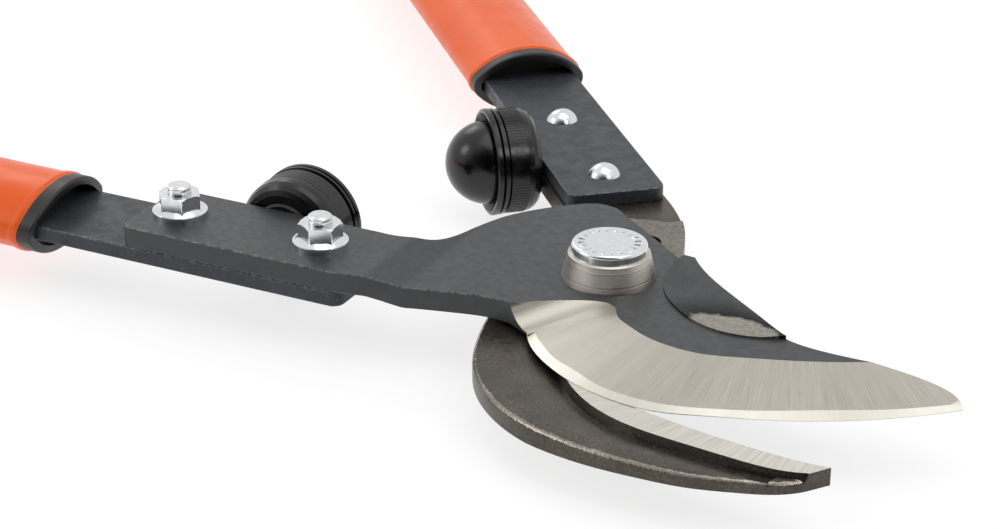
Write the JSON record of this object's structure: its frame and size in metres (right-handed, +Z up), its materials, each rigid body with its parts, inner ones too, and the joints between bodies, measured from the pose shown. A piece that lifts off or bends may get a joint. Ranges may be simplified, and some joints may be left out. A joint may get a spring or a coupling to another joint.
{
  "type": "bypass loppers",
  "caption": "Long-handled bypass loppers with a bevelled cutting blade, hooked counter blade, coned pivot, rubber bumpers and oval tube handles.",
  "frame": {"origin": "on the pivot axis, at the underside of the pivot nut", "axes": "+X towards the jaws between the two handles, +Z up along the pivot axis, through the pivot head"},
  "size_m": [0.5504, 0.4788, 0.0322],
  "materials": {
    "blackened_bar": "blackened steel, satin",
    "orange_enamel": "glossy orange stoved enamel on aluminium",
    "black_nylon": "moulded black nylon",
    "zinc": "bright zinc-plated steel",
    "black_rubber": "moulded black rubber, satin",
    "coated_blade": "dark satin coating with a bright ground bevel",
    "forged_steel": "forged steel, browned, with ground lands",
    "turned_steel": "turned steel",
    "white_nylon": "nylon"
  },
  "bodies": {
    "counter_side": {"cone_spacer": "turned_steel", "counter_blade": "forged_steel", "lock_ring": "white_nylon", "pivot_bolt": "zinc", "pivot_nut": "zinc", "pivot_washer": "zinc", "right_bumper_cup": "black_rubber", "right_bumper_dome": "black_rubber", "right_bumper_screw": "zinc", "right_end_cap": "black_nylon", "right_handle_bar": "blackened_bar", "right_handle_bolts": "zinc", "right_handle_nuts": "zinc", "right_handle_tube": "orange_enamel", "right_tube_insert": "black_nylon", "right_tube_rivet": "zinc"},
    "cutting_side": {"left_bumper_cup": "black_rubber", "left_bumper_dome": "black_rubber", "left_bumper_screw": "zinc", "left_end_cap": "black_nylon", "left_handle_bar": "blackened_bar", "left_handle_bolts": "zinc", "left_handle_nuts": "zinc", "left_handle_tube": "orange_enamel", "left_tube_insert": "black_nylon", "left_tube_rivet": "zinc", "cutting_blade": "coated_blade"}
  },
  "joints": [
    {"name": "blade_pivot", "type": "hinge", "parent": "counter_side", "child": "cutting_side", "pos_m": [0, 0, 0.0185], "axis": [0, 0, 1], "range_deg": [-23.8, 45]}
  ]
}
